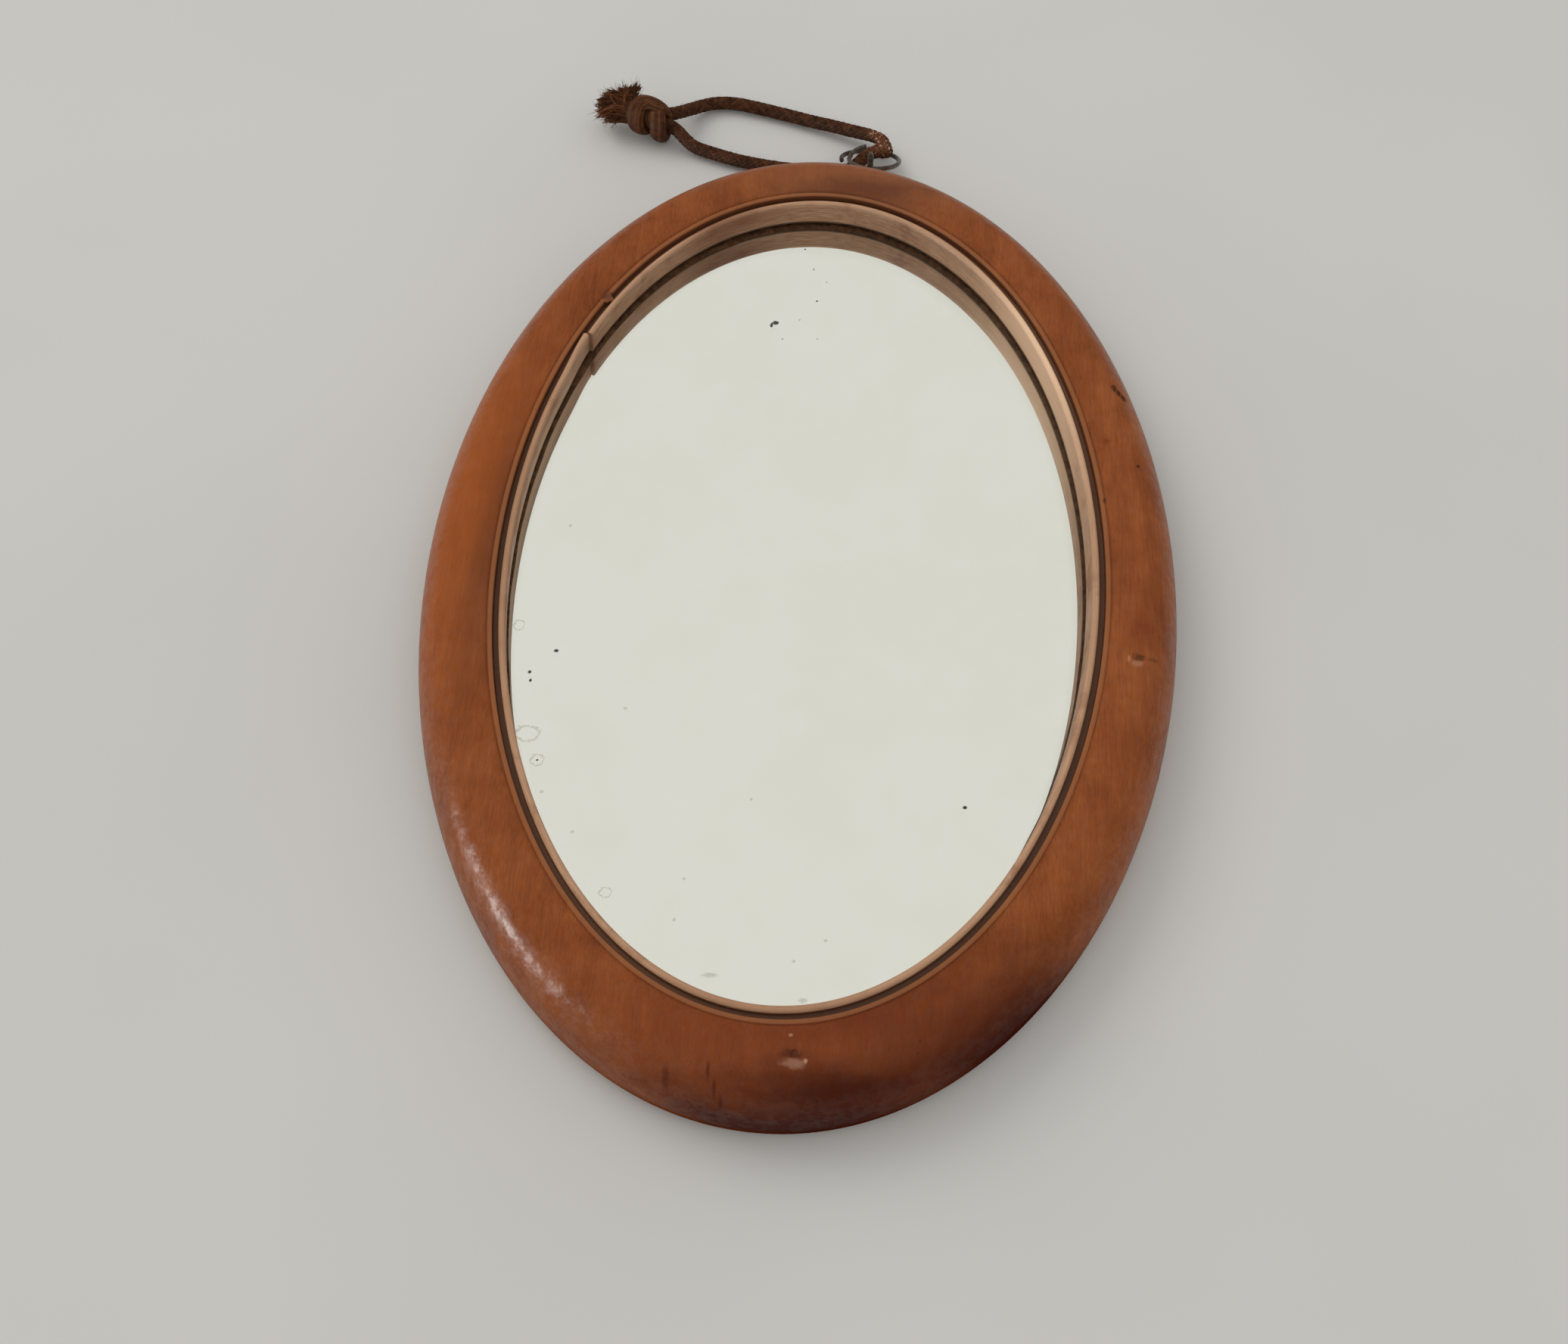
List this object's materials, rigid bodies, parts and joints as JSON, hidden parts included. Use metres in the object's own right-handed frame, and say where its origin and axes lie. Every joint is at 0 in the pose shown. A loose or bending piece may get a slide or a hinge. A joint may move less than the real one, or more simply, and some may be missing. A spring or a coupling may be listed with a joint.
{
  "type": "oval wall mirror",
  "caption": "Oval wooden-framed mirror with a bent wooden slip, boarded back, screw eye, wire ring and a knotted cord loop to hang it by.",
  "frame": {"origin": "on the back plane, under the middle of the frame, eye and ring together (the cord is left out of that middle)", "axes": "+Z out of the mirror's face, +Y along the long axis towards the hanging end, +X to the right of someone looking at the face"},
  "size_m": [0.18, 0.305, 0.02],
  "materials": {
    "frame_wood": "reddish-brown fruitwood, rubbed wax polish",
    "slip_wood": "tan bent wood, worn satin",
    "silvered_glass": "old silvered glass",
    "paper": "brown packing paper, matte",
    "board_wood": "unfinished thin board, matte",
    "nail_steel": "dulled steel",
    "wire_steel": "darkened steel wire, half gloss",
    "waxed_cord": "brown waxed braid"
  },
  "bodies": {
    "mirror": {"oval_frame": "frame_wood", "inner_slip": "slip_wood", "mirror_glass": "silvered_glass", "packing_sheet": "paper", "backing_board": "board_wood", "brad_01": "nail_steel", "brad_02": "nail_steel", "brad_03": "nail_steel", "brad_04": "nail_steel", "brad_05": "nail_steel", "brad_06": "nail_steel", "brad_07": "nail_steel", "brad_08": "nail_steel", "brad_09": "nail_steel", "brad_10": "nail_steel", "brad_11": "nail_steel", "brad_12": "nail_steel", "screw_eye": "wire_steel"},
    "ring": {"wire_ring": "wire_steel"},
    "cord": {"hanging_cord": "waxed_cord", "cord_knot": "waxed_cord", "cord_frayed_end": "waxed_cord"}
  },
  "joints": [
    {"name": "ring_swing", "type": "hinge", "parent": "mirror", "child": "ring", "pos_m": [0.011, 0.12797, 0.0083], "axis": [1, 0, 0], "range_deg": [0, 120]},
    {"name": "cord_turn", "type": "hinge", "parent": "ring", "child": "cord", "pos_m": [0.011, 0.13554, 0.00477], "axis": [0, 0.422, 0.9066], "range_deg": [0, 20]}
  ]
}
